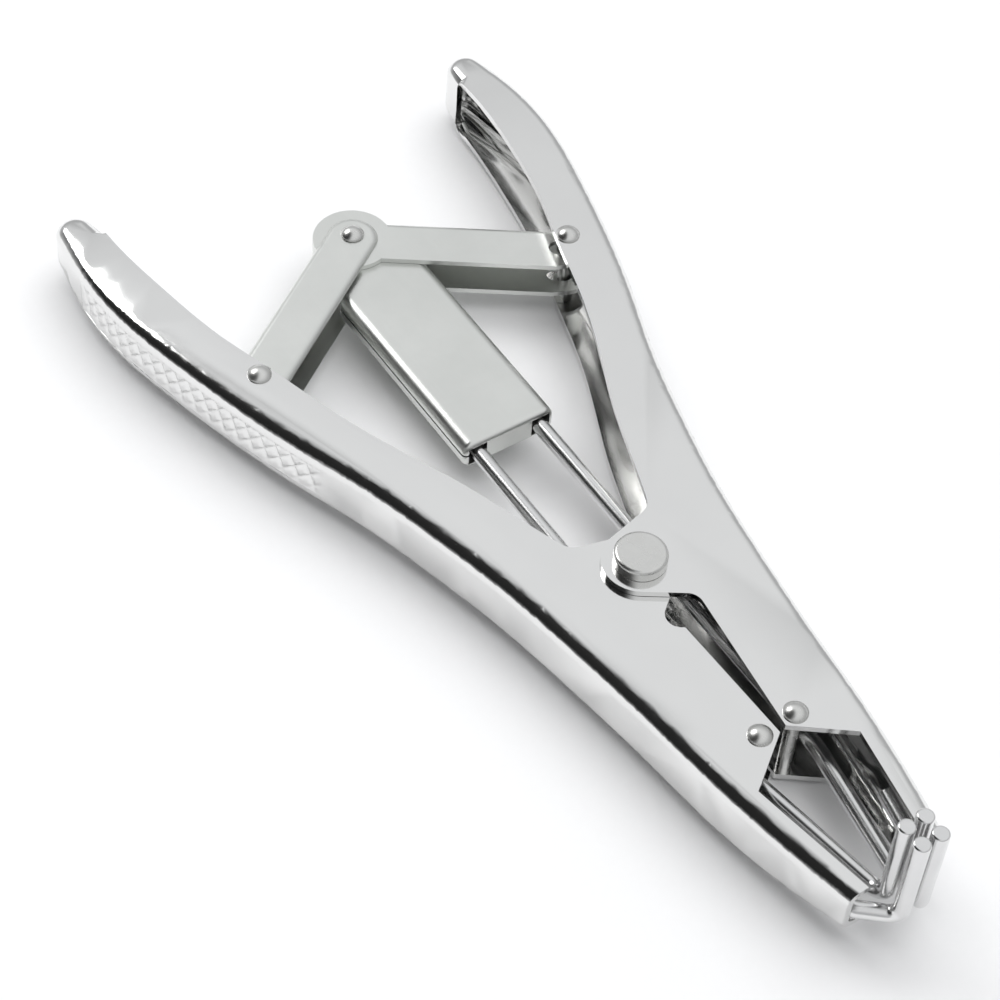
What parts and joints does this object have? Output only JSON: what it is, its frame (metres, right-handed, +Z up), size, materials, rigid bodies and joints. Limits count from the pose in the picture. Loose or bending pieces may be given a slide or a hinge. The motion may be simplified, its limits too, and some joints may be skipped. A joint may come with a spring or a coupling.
{
  "type": "rubber ring applicator pliers",
  "caption": "Hand pliers whose squeezed channel handles spread upright prongs through a toggle linkage and sliding rods, to stretch a small rubber ring.",
  "frame": {"origin": "on the pivot rivet's axis, at the flat lower end of the rivet, which is the plane the pliers lie on", "axes": "+X from the pivot towards the prongs, +Y towards the handle whose flanges lie outside at the pivot, +Z up"},
  "size_m": [0.2377, 0.1152, 0.035],
  "materials": {
    "bright_plate": "bright nickel-chrome plate on pressed steel",
    "zinc_plate": "clear zinc plate, satin",
    "rivet_steel": "clear zinc plate, smooth",
    "rod_steel": "bright drawn rod, plated"
  },
  "bodies": {
    "pivot": {"pivot_rivet": "rivet_steel", "pivot_spacer": "rivet_steel"},
    "left_handle": {"handle_left": "bright_plate", "link_rivet_left": "rivet_steel", "front_rivet_left": "rivet_steel", "front_spacer_left": "rivet_steel", "jaw_prong_left": "rod_steel"},
    "right_handle": {"handle_right": "bright_plate", "link_rivet_right": "rivet_steel", "front_rivet_right": "rivet_steel", "front_spacer_right": "rivet_steel", "jaw_prong_right": "rod_steel"},
    "sliding_carriage": {"slider": "zinc_plate", "apex_rivet": "rivet_steel"},
    "left_link": {"link_left": "zinc_plate"},
    "right_link": {"link_right": "zinc_plate"},
    "left_rod": {"rod_left": "rod_steel"},
    "right_rod": {"rod_right": "rod_steel"}
  },
  "joints": [
    {"name": "left_handle_hinge", "type": "hinge", "parent": "pivot", "child": "left_handle", "pos_m": [0, 0, 0.0103], "axis": [0, 0, 1], "range_deg": [0, 12]},
    {"name": "right_handle_hinge", "type": "hinge", "parent": "pivot", "child": "right_handle", "pos_m": [0, 0, 0.0103], "axis": [0, 0, -1], "range_deg": [0, 12]},
    {"name": "carriage_slide", "type": "slide", "parent": "pivot", "child": "sliding_carriage", "axis": [-1, 0, 0], "range_m": [0, 0.02242]},
    {"name": "left_link_hinge", "type": "hinge", "parent": "sliding_carriage", "child": "left_link", "pos_m": [-0.11004, 0, 0.0103], "axis": [0, 0, -1], "range_deg": [0, 29.46]},
    {"name": "right_link_hinge", "type": "hinge", "parent": "sliding_carriage", "child": "right_link", "pos_m": [-0.11004, 0, 0.0103], "axis": [0, 0, 1], "range_deg": [0, 29.46]},
    {"name": "left_rod_hinge", "type": "hinge", "parent": "sliding_carriage", "child": "left_rod", "pos_m": [-0.0515, 0.00772, 0.0103], "axis": [0, 0, 1], "range_deg": [0, 6.46]},
    {"name": "right_rod_hinge", "type": "hinge", "parent": "sliding_carriage", "child": "right_rod", "pos_m": [-0.0515, -0.00772, 0.0103], "axis": [0, 0, -1], "range_deg": [0, 6.46]}
  ],
  "couplings": [
    {"joint": "right_handle_hinge", "follows": "left_handle_hinge", "ratio": 1},
    {"joint": "carriage_slide", "follows": "left_handle_hinge", "m_per_rad": 0.10659},
    {"joint": "left_link_hinge", "follows": "left_handle_hinge", "ratio": 2.4465},
    {"joint": "right_link_hinge", "follows": "left_handle_hinge", "ratio": 2.4465},
    {"joint": "left_rod_hinge", "follows": "left_handle_hinge", "ratio": 0.53},
    {"joint": "right_rod_hinge", "follows": "left_handle_hinge", "ratio": 0.53}
  ]
}
